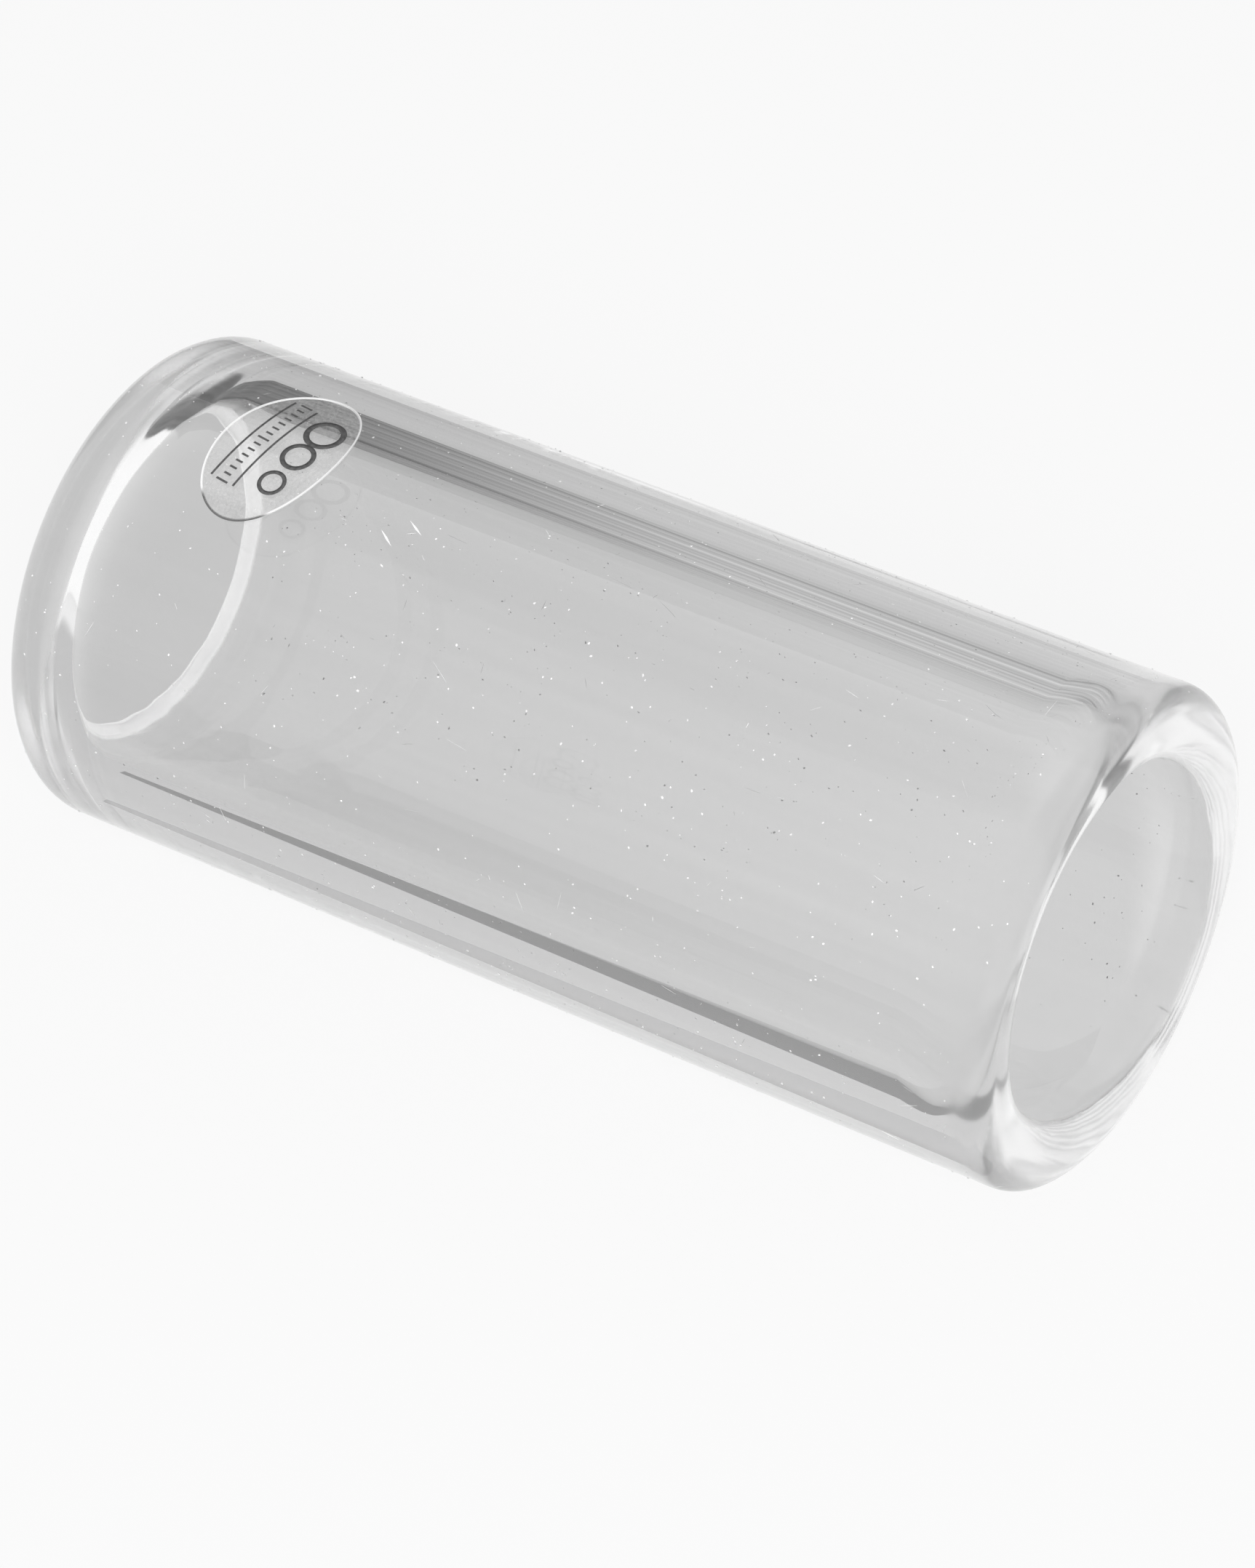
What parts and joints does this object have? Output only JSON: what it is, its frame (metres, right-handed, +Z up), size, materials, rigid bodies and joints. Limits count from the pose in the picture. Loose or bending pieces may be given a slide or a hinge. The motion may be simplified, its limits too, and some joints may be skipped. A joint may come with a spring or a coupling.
{
  "type": "guitar slide",
  "caption": "Clear heavy-wall glass tube with fire-polished ends and a clear oval label, worn on a finger to slide along guitar strings.",
  "frame": {"origin": "middle of the narrow flat that the tube rests on when it lies on its side", "axes": "+X along the bore towards the end without the label, +Z up with the label on top"},
  "size_m": [0.064, 0.029, 0.0291],
  "materials": {
    "clear_glass": "clear colourless drawn glass, flame-polished rims, fine draw lines and handling scratches",
    "tacky_adhesive": "clear pressure-sensitive adhesive with a fine orange-peel texture",
    "clear_film": "clear label film with a pale cut edge",
    "label_ink": null
  },
  "bodies": {
    "root": {"glass_tube": "clear_glass", "label_adhesive": "tacky_adhesive", "label_film": "clear_film"}
  },
  "joints": []
}
